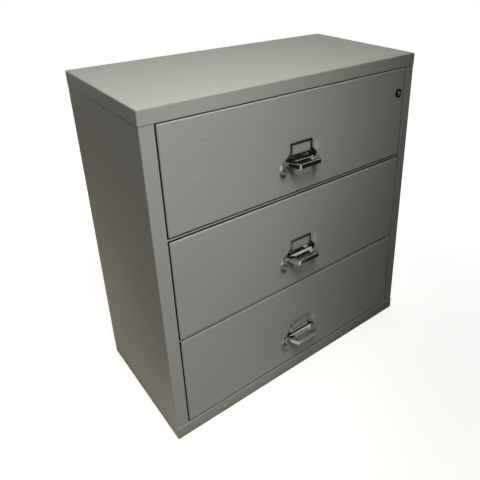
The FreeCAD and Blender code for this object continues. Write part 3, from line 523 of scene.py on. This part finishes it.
def front_paint(number):
    """Enamel with the painted reflections by the lever and the label frame, and the top drawer's scratch
    and scuff.
    """
    paint, colour = enamel(f"drawer_{number}_enamel", dusty=number == 3)
    lever_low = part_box(f"drawer_{number}_thumb_lever")[0]
    lever_foot = Vector((lever_low.x, front_face, lever_low.z))
    # Painted reflected light: the patch beside the lever stands in for light that the chrome tab throws
    # onto the front.
    lever_reflection = paint.spot(lever_foot + lever_reflection_shift, lever_reflection_radii, 0.1)
    tone_share = paint.sums("MULTIPLY", lever_reflection, paint.spread(paint.noise(7 * mm, 3.0), 0.35, 0.6, 0.55, 1.0))
    colour = paint.mix(tone_share, colour, scuff_and_reflection_light)
    label_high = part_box(f"drawer_{number}_handle")[1]
    label_corner_place = Vector((label_high.x, front_face, label_high.z))
    # Painted reflected light: the pale patch right of the label frame stands in for light thrown from
    # the chrome frame.
    frame_reflection = paint.spot(label_corner_place + frame_reflection_shift, frame_reflection_radii, 0.0)
    colour = paint.mix(paint.sums("MULTIPLY", frame_reflection, frame_reflection_share), colour, scuff_and_reflection_light)
    if number == 1:
        grain = paint.spread(paint.noise(9 * mm, 3.0, (3, 1, 1)), 0.3, 0.6)
        scratch = paint.spot((scratch_x, front_face, scratch_z), scratch_radii, 0.5)
        scratch = paint.sums("MULTIPLY", paint.sums("MULTIPLY", scratch, grain), scratch_share)
        colour = paint.mix(scratch, colour, scratch_dark)
        scuff = paint.spot((scuff_x, front_face, scuff_z), scuff_radii, 0.2)
        scuff = paint.sums("MULTIPLY", paint.sums("MULTIPLY", scuff, grain), scuff_share)
        colour = paint.mix(scuff, colour, scuff_and_reflection_light)
    return finish_colour(paint, colour)


front_paints = {number: front_paint(number) for number in drawers}
print("front paints:", [paint.name for paint in front_paints.values()])

# %% Base paint
kick_brown = (0.15, 0.11, 0.075, 1)
kick_size, kick_share = 22 * mm, 0.55
kick_low, kick_high = 4 * mm, 26 * mm
chip_white = (0.82, 0.81, 0.78, 1)
chip_x, chip_z, chip_radii = -0.3105, 0.0197, Vector((5, 5, 4)) * mm


def base_paint():
    """Enamel with shoe marks along the floor and one chip."""
    paint, colour = enamel("base_enamel")
    kicked = paint.spread(paint.noise(kick_size, 5.0, (3, 1, 1)), 0.48, 0.66)
    near_floor = paint.spread(paint.along("Z"), kick_low, kick_high, 1.0, 0.0)
    marks = paint.sums("MULTIPLY", kicked, near_floor)
    colour = paint.mix(paint.sums("MULTIPLY", marks, kick_share), colour, kick_brown)
    chip = paint.spot((chip_x, front_face, chip_z), chip_radii, 0.4)
    return finish_colour(paint, paint.mix(chip, colour, chip_white))


base_enamel = base_paint()
print("base paint:", base_enamel.name)

# %% [markdown]
# ## Cast insulation
# Between the steel skins lies a cast gypsum-like filling. It only shows where a slab is bare, and there
# it is pale, dusty and full of small air holes, which are darkened with painted shade.

# %% Insulation
cast_dark, cast_pale = (0.56, 0.52, 0.44, 1), (0.68, 0.64, 0.56, 1)
# The colour of the painted shade in the air holes, and their size.
hole_shade, hole_size = (0.30, 0.27, 0.22, 1), 9 * mm


def cast_insulation():
    """A cloudy pale casting with air holes darkened by painted shade."""
    cast = Finish("cast_insulation", Roughness=0.95, Specular_IOR_Level=0.2)
    cloud = cast.spread(cast.noise(60 * mm, 5.0), 0.3, 0.7)
    colour = cast.mix(cloud, cast_dark, cast_pale)
    holes = cast.spread(cast.cells(hole_size), 0.10, 0.24, 1.0, 0.0)
    # Painted shade: the air holes are darkened, as shade falls in them.
    colour = cast.mix(cast.sums("MULTIPLY", holes, 0.6), colour, hole_shade)
    surface = cast.sums("SUBTRACT", cast.noise(3 * mm, 4.0), holes)
    cast.bump(surface, 0.5, 1 * mm)
    return finish_colour(cast, colour)


insulation = cast_insulation()
print("insulation:", insulation.name)

# %% [markdown]
# ## Bright metals
# The slides and screws are zinc-plated and drawn along their length, the pulls are polished chrome with
# fine wiping scratches, the thumb levers are duller, and the lock has a blackened ring and steel inner
# parts. The bumpers behind the trays are black rubber with a grey bloom.

# %% Zinc-plated steel
zinc_dark, zinc_light, zinc_bloom = (0.50, 0.50, 0.48, 1), (0.64, 0.64, 0.62, 1), (0.58, 0.59, 0.60, 1)


def drawn_zinc():
    """Plated steel with streaks along Y and a faint crystal bloom."""
    zinc = Finish("drawn_zinc", Metallic=1.0)
    streak = zinc.spread(zinc.noise(1.2 * mm, 2.0, (1, 60, 1)), 0.3, 0.7)
    bloom = zinc.spread(zinc.cells(7 * mm), 0.1, 0.6)
    colour = zinc.mix(streak, zinc_dark, zinc_light)
    colour = zinc.mix(zinc.sums("MULTIPLY", bloom, 0.3), colour, zinc_bloom)
    zinc.feed(zinc.shader.inputs["Roughness"], zinc.spread(streak, 0, 1, 0.28, 0.42))
    zinc.bump(streak, 0.08, 0.1 * mm)
    return finish_colour(zinc, colour)


slide_steel = drawn_zinc()
print("slides and screws:", slide_steel.name)

# %% Chrome
chrome_clean, chrome_smudged = (0.60, 0.60, 0.59, 1), (0.53, 0.53, 0.515, 1)


def polished_chrome():
    """Chrome with smudges and fine wiping scratches."""
    chrome = Finish("polished_chrome", Metallic=1.0)
    smudge = chrome.spread(chrome.noise(11 * mm, 4.0), 0.35, 0.7)
    wiped = chrome.spread(chrome.noise(0.5 * mm, 2.0, (40, 6, 2)), 0.45, 0.75)
    colour = chrome.mix(smudge, chrome_clean, chrome_smudged)
    dulled = chrome.spread(smudge, 0, 1, 0.04, 0.10)
    scratched = chrome.spread(wiped, 0, 1, 0.0, 0.04)
    chrome.feed(chrome.shader.inputs["Roughness"], chrome.sums("ADD", dulled, scratched))
    chrome.bump(wiped, 0.03, 0.05 * mm)
    return finish_colour(chrome, colour)


chrome = polished_chrome()
print("pulls:", chrome.name)

# %% Satin lever metal
satin_light, satin_dark = (0.60, 0.615, 0.615, 1), (0.50, 0.51, 0.505, 1)


def satin_metal():
    """Worn metal, brushed along the lever."""
    satin = Finish("satin_lever", Metallic=1.0)
    tone_share = satin.spread(satin.noise(4 * mm, 4.0), 0.35, 0.65)
    brushed = satin.spread(satin.noise(0.4 * mm, 2.0, (2, 6, 30)), 0.4, 0.7)
    colour = satin.mix(tone_share, satin_light, satin_dark)
    dulled = satin.spread(tone_share, 0, 1, 0.24, 0.32)
    scratched = satin.spread(brushed, 0, 1, 0.0, 0.06)
    satin.feed(satin.shader.inputs["Roughness"], satin.sums("ADD", dulled, scratched))
    satin.bump(brushed, 0.05, 0.05 * mm)
    return finish_colour(satin, colour)


lever_satin = satin_metal()
print("levers:", lever_satin.name)

# %% Lock metals
def lock_metal(name, dark_tone, light_tone, smooth, dull):
    """Cloudy metal between two tones and two roughnesses."""
    metal = Finish(name, Metallic=1.0)
    cloud = metal.spread(metal.noise(3 * mm, 4.0), 0.3, 0.7)
    metal.feed(metal.shader.inputs["Roughness"], metal.spread(cloud, 0, 1, smooth, dull))
    metal.bump(metal.noise(0.4 * mm, 2.0), 0.05, 0.05 * mm)
    return finish_colour(metal, metal.mix(cloud, dark_tone, light_tone))


ring_black = lock_metal("blackened_ring", (0.012, 0.012, 0.011, 1), (0.03, 0.03, 0.028, 1), 0.22, 0.38)
lock_steel = lock_metal("lock_steel", (0.30, 0.30, 0.29, 1), (0.44, 0.44, 0.43, 1), 0.25, 0.4)
print("lock:", ring_black.name, lock_steel.name)

# %% Rubber
rubber_black, rubber_grey = (0.018, 0.018, 0.018, 1), (0.05, 0.048, 0.045, 1)


def bumper_black():
    """Matt black rubber with a bloom."""
    rubber = Finish("bumper_black", Roughness=0.8, Specular_IOR_Level=0.3)
    bloom = rubber.spread(rubber.noise(5 * mm, 4.0), 0.4, 0.75)
    rubber.bump(rubber.noise(0.6 * mm, 2.0), 0.2, 0.2 * mm)
    return finish_colour(rubber, rubber.mix(bloom, rubber_black, rubber_grey))


bumper_rubber = bumper_black()
print("bumpers:", bumper_rubber.name)

# %% [markdown]
# ## Finishes on the CAD pieces
# Each CAD piece came with the name of its material slot, so most finishes go on by that name. The
# drawer fronts and the base take their own paint, with their own marks.

# %% Assign the finishes
slot_finishes = {
    "cabinet_paint": cabinet_paint,
    "inner_paint": inner_paint,
    "insulation": insulation,
    "slide_steel": slide_steel,
    "pull_chrome": chrome,
    "lock_steel": lock_steel,
    "bumper_rubber": bumper_rubber,
}
for piece in nodes.values():
    for index, old in enumerate(piece.data.materials):
        piece.data.materials[index] = slot_finishes[old.name]
for number, paint in front_paints.items():
    nodes[f"drawer_{number}_front"].data.materials[0] = paint
nodes["base_frame"].data.materials[0] = base_enamel
print("finished nodes:", len(nodes))

# %% [markdown]
# ## From a bmesh to a piece
# A finished shape has its doubles merged and its normals turned outwards before it becomes an object.
# The object stays at the origin, with its place in its mesh, and rides on the body that carries it.

# %% Piece helper
merge_reach = 0.01 * mm
smooth_angle = math.radians(32)


def piece_from(shape, name, body, material, replaced):
    """Makes the bmesh an object that rides on a body and stands for a CAD node."""
    bmesh.ops.remove_doubles(shape, verts=shape.verts, dist=merge_reach)
    bmesh.ops.recalc_face_normals(shape, faces=shape.faces)
    mesh = bpy.data.meshes.new(name)
    shape.to_mesh(mesh)
    shape.free()
    mesh.shade_smooth()
    mesh.set_sharp_from_angle(angle=smooth_angle)
    mesh.materials.append(material)
    piece = bpy.data.objects.new(name, mesh)
    scene.collection.objects.link(piece)
    level = piece.modifiers.new("level_faces", "WEIGHTED_NORMAL")
    level.keep_sharp = True
    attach(piece, body)
    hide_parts(replaced)
    print(name, "faces:", len(mesh.polygons))


def soften(shape, edges, width, steps):
    """Rounds edges."""
    bmesh.ops.bevel(shape, geom=edges, offset=width, offset_type="OFFSET", segments=steps, profile=0.5,
                    affect="EDGES", clamp_overlap=True, material=-1)


def points_of(parts):
    """The vertices among the parts that an operator gives back."""
    return [part for part in parts if isinstance(part, bmesh.types.BMVert)]


def facing(shape, direction):
    """The flat faces that look along a direction."""
    return [face for face in shape.faces if face.normal.dot(Vector(direction)) > 0.99]


def round_rims(shape, faces, radius, steps=4):
    """Rounds the rims of a flat region, which is inset and raised in steps along a quarter circle."""
    turns = [math.pi / 2 * step / steps for step in range(steps + 1)]
    for before, after in zip(turns, turns[1:]):
        bmesh.ops.inset_region(shape, faces=faces, use_boundary=True, use_even_offset=True,
                               thickness=radius * (math.cos(before) - math.cos(after)),
                               depth=radius * (math.sin(after) - math.sin(before)))


# %% [markdown]
# ## The label frame
# Above each pull stands a thin plate with a window for a label card. Its straight sides sweep out in an
# arc to the width of the pull. Half of the outline is drawn as one line, with spun arcs, and mirrored.
# The plate is filled round its window and given its thickness, and the rims of its face are rounded.

# %% Outline pen
class Pen:
    """Draws a line of edges with the extrude and spin operators, in the plane of X and Z."""

    def __init__(self, shape, x, y, z):
        self.shape = shape
        self.last = shape.verts.new((x, y, z))

    def to(self, x, z):
        """A straight edge to a point."""
        made = bmesh.ops.extrude_vert_indiv(self.shape, verts=[self.last])
        self.last = made["verts"][0]
        self.last.co.x, self.last.co.z = x, z

    def arc(self, x, z, degrees, steps):
        """An arc round a centre, turning clockwise as seen from the front."""
        made = bmesh.ops.spin(self.shape, geom=[self.last], cent=(x, self.last.co.y, z), axis=(0, 1, 0),
                              angle=math.radians(degrees), steps=steps)
        self.last = points_of(made["geom_last"])[0]


# %% Label plate
plate_thickness, plate_round = 2.5 * mm, 0.6 * mm
label_half = 41 * mm
label_corner = 3 * mm
label_straight = 24 * mm
label_bar = 7 * mm
window_height = 29 * mm
flare_drop = 22 * mm
flare_radius = 14 * mm
flare_turn = 47
pull_half = 57.5 * mm
pull_height = 14.5 * mm


def label_plate(shape, back, top, foot):
    """The plate from its top edge down to its foot, with its back on the drawer front."""
    pen = Pen(shape, 0, back, top)
    pen.to(label_half - label_corner, top)
    pen.arc(label_half - label_corner, top - label_corner, 90, 4)
    neck = top - label_straight
    pen.to(label_half, neck)
    pen.arc(label_half + flare_radius, neck, -flare_turn, 6)
    pen.to(pull_half, neck - flare_drop)
    pen.to(pull_half, foot)
    pen.to(0, foot)
    window = Pen(shape, 0, back, top - label_bar)
    window.to(label_half - label_bar, top - label_bar)
    window.to(label_half - label_bar, top - label_bar - window_height)
    window.to(0, top - label_bar - window_height)
    bmesh.ops.mirror(shape, geom=shape.verts[:] + shape.edges[:], axis="X", merge_dist=merge_reach)
    bmesh.ops.triangle_fill(shape, edges=shape.edges[:], use_beauty=True, normal=(0, -1, 0))
    walls = bmesh.ops.extrude_face_region(shape, geom=shape.faces[:])
    bmesh.ops.translate(shape, vec=(0, plate_round - plate_thickness, 0), verts=points_of(walls["geom"]))
    bmesh.ops.recalc_face_normals(shape, faces=shape.faces)
    round_rims(shape, facing(shape, (0, -1, 0)), plate_round)


# %% [markdown]
# ## The pull loop
# The loop leaves the plate square, and then its arms slope in to a narrower nose. The ring between its
# outer and its inner outline, both with rounded corners, is filled and extruded to its height. Its rims
# are rounded, because the bright lines along them are what shows from a distance, and the ledge behind
# the gap falls a little towards the fingers.

# %% Pull loop
pull_neck = 7 * mm
nose_half = 39.5 * mm
ledge = 12 * mm
front_bar = 6 * mm
gap_back_half = 33 * mm
gap_front_half = 35.5 * mm
nose_corner, neck_corner = 4.2 * mm, 4.5 * mm
gap_back_corner, gap_front_corner = 3 * mm, 5.5 * mm
top_round, low_round = 1.8 * mm, 1.0 * mm
ledge_fall, ledge_blend, ledge_margin = 1.6 * mm, 6 * mm, 3 * mm
corner_steps = 6
cut_reach = 0.1 * mm


def pull_loop(shape, back, nose, low):
    """The ring of the pull between its back face and its nose."""
    level = low + low_round
    outside = (
        (pull_half, back, 0),
        (pull_half, back - pull_neck, neck_corner),
        (nose_half, nose, nose_corner),
    )
    inside = (
        (gap_back_half, back - ledge, gap_back_corner),
        (gap_front_half, nose + front_bar, gap_front_corner),
    )
    for right in (outside, inside):
        corners = list(right) + [(-x, y, corner) for x, y, corner in reversed(right)]
        points = [shape.verts.new((x, y, level)) for x, y, corner in corners]
        shape.faces.new(points)
        for point, (x, y, corner) in zip(points, corners):
            if corner:
                bmesh.ops.bevel(shape, geom=[point], offset=corner, offset_type="OFFSET",
                                segments=corner_steps, profile=0.5, affect="VERTICES",
                                clamp_overlap=True, material=-1)
    bmesh.ops.delete(shape, geom=shape.faces[:], context="FACES_ONLY")
    bmesh.ops.triangle_fill(shape, edges=shape.edges[:], use_beauty=True, normal=(0, 0, 1))
    grown = bmesh.ops.extrude_face_region(shape, geom=shape.faces[:])
    wall_height = pull_height - top_round - low_round
    bmesh.ops.translate(shape, vec=(0, 0, wall_height), verts=points_of(grown["geom"]))
    bmesh.ops.recalc_face_normals(shape, faces=shape.faces)
    round_rims(shape, facing(shape, (0, 0, 1)), top_round)
    round_rims(shape, facing(shape, (0, 0, -1)), low_round)
    lower_ledge(shape, back, low)


def lower_ledge(shape, back, low):
    """Cuts the ledge off from the arms and the plate's foot, and lets it fall towards the gap."""
    ledge_end = gap_back_half + top_round + ledge_margin
    plate_front = back - plate_thickness
    for place, across in (
        ((ledge_end, 0, 0), (1, 0, 0)),
        ((-ledge_end, 0, 0), (1, 0, 0)),
        ((0, plate_front, 0), (0, 1, 0)),
    ):
        whole = shape.verts[:] + shape.edges[:] + shape.faces[:]
        bmesh.ops.bisect_plane(shape, geom=whole, dist=1e-6, plane_co=place, plane_no=across)
    for point in shape.verts:
        before_plate = point.co.y < plate_front - cut_reach
        between_arms = abs(point.co.x) < ledge_end - cut_reach
        if before_plate and between_arms and point.co.z > low + pull_height / 2:
            share = (point.co.y - back + ledge + ledge_blend) / ledge_blend
            point.co.z -= ledge_fall * min(max(share, 0), 1)


# %% [markdown]
# ## Blocks and rods
# The smaller metal parts are blocks and rods. Each is created at its size, moved into place and
# softened.

# %% Blocks and rods
def edges_of(points):
    """The edges at some vertices, each once."""
    return list(dict.fromkeys(edge for point in points for edge in point.link_edges))


def block(shape, low, high, soft, steps=2):
    """A block between two corners, with softened edges."""
    made = bmesh.ops.create_cube(shape, size=1)["verts"]
    bmesh.ops.scale(shape, vec=Vector(high) - Vector(low), verts=made)
    bmesh.ops.translate(shape, vec=(Vector(high) + Vector(low)) / 2, verts=made)
    soften(shape, edges_of(made), soft, steps)


def rod(shape, x, z, front, back, radius, soft=0.0, sides=28):
    """A round rod along Y, with softened ends."""
    made = bmesh.ops.create_cone(shape, cap_ends=True, segments=sides, radius1=radius, radius2=radius,
                                 depth=back - front)["verts"]
    bmesh.ops.rotate(shape, cent=(0, 0, 0), matrix=Matrix.Rotation(math.pi / 2, 3, "X"), verts=made)
    bmesh.ops.translate(shape, vec=(x, (front + back) / 2, z), verts=made)
    if soft:
        rims = [edge for edge in edges_of(made) if abs(edge.verts[0].co.y - edge.verts[1].co.y) < 1e-6]
        soften(shape, rims, soft, 2)


# %% [markdown]
# ## The pulls
# Each drawer's pull is the label plate, the loop and a round ear at the left, which carries the spindle
# of the thumb lever. The three are one casting, so they become one piece.

# %% Make the pulls
ear_radius, ear_soft = 7.5 * mm, 0.2 * mm
hub_drop = 5 * mm
for number in drawers:
    node = f"drawer_{number}_handle"
    low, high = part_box(node)
    plate = bmesh.new()
    label_plate(plate, high.y, high.z, low.z + pull_height - plate_thickness)
    loop = bmesh.new()
    pull_loop(loop, high.y, low.y, low.z)
    spare = bpy.data.meshes.new("spare")
    plate.to_mesh(spare)
    plate.free()
    loop.from_mesh(spare)
    bpy.data.meshes.remove(spare)
    bmesh.ops.translate(loop, vec=(high.x - pull_half, 0, 0), verts=loop.verts[:])
    ear_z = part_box(f"drawer_{number}_thumb_lever")[1].z - hub_drop
    rod(loop, low.x + ear_radius, ear_z, high.y - plate_thickness, high.y, ear_radius, ear_soft)
    piece_from(loop, f"pull_{number}", f"drawer_{number}", chrome, node)

# %% [markdown]
# ## The thumb levers
# Beside each pull a small lever turns on a spindle that goes through the drawer front. Outside it has a
# hub, a stem and a pad for the thumb, and inside a crank with a pin that draws the latch rod. The parts
# that are seen are softened most.

# %% Make the thumb levers
stem_wide, stem_left, stem_thick = 4 * mm, 4.5 * mm, 4 * mm
pad_long, pad_thick, pad_deep = 20 * mm, 5 * mm, 14 * mm
hub_radius, spindle_radius, pin_radius = 6 * mm, 3 * mm, 2 * mm
crank_wide, crank_long, crank_thick = 10 * mm, 14 * mm, 3 * mm
pin_reach = 3.4 * mm
hub_soft, stem_soft, pad_soft, crank_soft, pin_soft = 2.2 * mm, 1.9 * mm, 1.6 * mm, 0.6 * mm, 0.3 * mm
for number in drawers:
    node = f"drawer_{number}_thumb_lever"
    low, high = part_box(node)
    turn_x = low.x + pad_long - stem_wide / 2
    turn_z = high.z - crank_wide / 2
    stem_back = low.y + pad_deep
    stem_front = stem_back - stem_thick
    shape = bmesh.new()
    rod(shape, turn_x, turn_z, stem_front, stem_back, hub_radius, hub_soft)
    block(shape, (turn_x - stem_left, stem_front, low.z + pad_thick / 2),
          (turn_x + stem_wide / 2, stem_back, turn_z), stem_soft, 5)
    block(shape, low, (low.x + pad_long, stem_back, low.z + pad_thick), pad_soft, 4)
    crank_back = high.y - pin_reach
    crank_front = crank_back - crank_thick
    pin_z = turn_z - crank_long
    rod(shape, turn_x, turn_z, stem_back, crank_back, spindle_radius)
    block(shape, (turn_x - crank_wide / 2, crank_front, pin_z - crank_wide / 2),
          (turn_x + crank_wide / 2, crank_back, turn_z + crank_wide / 2), crank_soft)
    rod(shape, turn_x, pin_z, crank_front, high.y, pin_radius, pin_soft)
    piece_from(shape, f"thumb_{number}", f"thumb_{number}", lever_satin, node)

# %% [markdown]
# ## The lock
# The lock is a turned barrel with a blackened ring on the drawer front and a plug that the key turns. A
# turned part is a profile spun about its axis: half of the section is drawn as a line of points from
# the rim of the bore round to the back, and one full spin closes it.

# %% Lock barrel
barrel_low, barrel_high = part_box("lock_barrel")
lock_x = (barrel_low.x + barrel_high.x) / 2
lock_z = (barrel_low.z + barrel_high.z) / 2
ring_radius = (barrel_high.x - barrel_low.x) / 2
ring_thick = 3 * mm
ring_round = 1.2 * mm
ring_bend = 0.3 * ring_round
turned_steps = 64
body_radius = 10 * mm
bore_radius = 8 * mm
lip_radius = 10.2 * mm
lip_drop = 0.8 * mm
ring_back = barrel_low.y + ring_thick
profile = (
    (bore_radius, barrel_high.y),
    (bore_radius, barrel_low.y + lip_drop),
    (lip_radius - lip_drop, barrel_low.y + lip_drop),
    (lip_radius, barrel_low.y),
    (ring_radius - ring_round, barrel_low.y),
    (ring_radius - ring_bend, barrel_low.y + ring_bend),
    (ring_radius, barrel_low.y + ring_round),
    (ring_radius, ring_back),
    (body_radius, ring_back),
    (body_radius, barrel_high.y),
)
shape = bmesh.new()
points = [shape.verts.new((lock_x + radius, y, lock_z)) for radius, y in profile]
lines = [shape.edges.new(pair) for pair in zip(points, points[1:] + points[:1])]
bmesh.ops.spin(shape, geom=points + lines, cent=(lock_x, 0, lock_z), axis=(0, 1, 0), angle=2 * math.pi,
               steps=turned_steps, use_merge=True)
piece_from(shape, "lock_ring", "drawer_1", ring_black, "lock_barrel")

# %% [markdown]
# The plug's face has a keyway, and a painted glint brightens it on one side. The rim and the outline of
# the keyway are drawn in one plane and the face is filled between them. Then the rim is extruded back to
# the cam, and the keyway a little way in.

# %% Lock plug
plug_low, plug_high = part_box("lock_plug")
plug_play, plug_sides = 0.05 * mm, 48
plug_radius = bore_radius - plug_play
keyway_wide, keyway_tall, keyway_deep = 1.6 * mm, 9 * mm, 3 * mm
cam_wide, cam_long, cam_thick, cam_soft = 12 * mm, 22 * mm, 3 * mm, 0.5 * mm
# The plug face's tones, and the colour of the painted glint beside the keyway.
face_dark, face_light, face_glint = (0.25, 0.25, 0.24, 1), (0.36, 0.36, 0.345, 1), (0.75, 0.75, 0.73, 1)
glint_shift, glint_radii = Vector((-3.5, 0, 3)) * mm, Vector((5, 3, 4.5)) * mm


def drawn_back(shape, edges, depth):
    """Extrudes a closed line along Y and gives its far edges."""
    grown = bmesh.ops.extrude_edge_only(shape, edges=edges)["geom"]
    bmesh.ops.translate(shape, vec=(0, depth, 0), verts=points_of(grown))
    return [part for part in grown if isinstance(part, bmesh.types.BMEdge)]


def plug_face_with_glint():
    """Dull cast metal with a painted glint beside the keyway."""
    face = Finish("plug_face_with_glint", Metallic=0.5, Roughness=0.45)
    cloud = face.spread(face.noise(2 * mm, 4.0), 0.3, 0.7)
    colour = face.mix(cloud, face_dark, face_light)
    # Painted highlight: the bright spot beside the keyway stands in for a glint of the lamp.
    tone_share = face.spot(Vector((lock_x, plug_low.y, lock_z)) + glint_shift, glint_radii)
    face.bump(face.noise(0.4 * mm, 2.0), 0.05, 0.05 * mm)
    return finish_colour(face, face.mix(tone_share, colour, face_glint))


shape = bmesh.new()
upright = Matrix.Translation((lock_x, plug_low.y, lock_z)) @ Matrix.Rotation(math.pi / 2, 4, "X")
bmesh.ops.create_circle(shape, cap_ends=False, segments=plug_sides, radius=plug_radius, matrix=upright)
rim = shape.edges[:]
half_wide, half_tall = keyway_wide / 2, keyway_tall / 2
corners = ((-1, -1), (1, -1), (1, 1), (-1, 1))
points = [shape.verts.new((lock_x + x * half_wide, plug_low.y, lock_z + z * half_tall))
          for x, z in corners]
slit = [shape.edges.new(pair) for pair in zip(points, points[1:] + points[:1])]
bmesh.ops.triangle_fill(shape, edges=rim + slit, use_beauty=True, normal=(0, -1, 0))
for outline, depth in ((rim, plug_high.y - plug_low.y), (slit, keyway_deep)):
    bmesh.ops.contextual_create(shape, geom=drawn_back(shape, outline, depth))
block(shape, (lock_x - cam_wide / 2, plug_high.y - cam_thick, lock_z - cam_long),
      (lock_x + cam_wide / 2, plug_high.y, lock_z), cam_soft)
piece_from(shape, "lock_plug_face", "lock_plug", plug_face_with_glint(), "lock_plug")
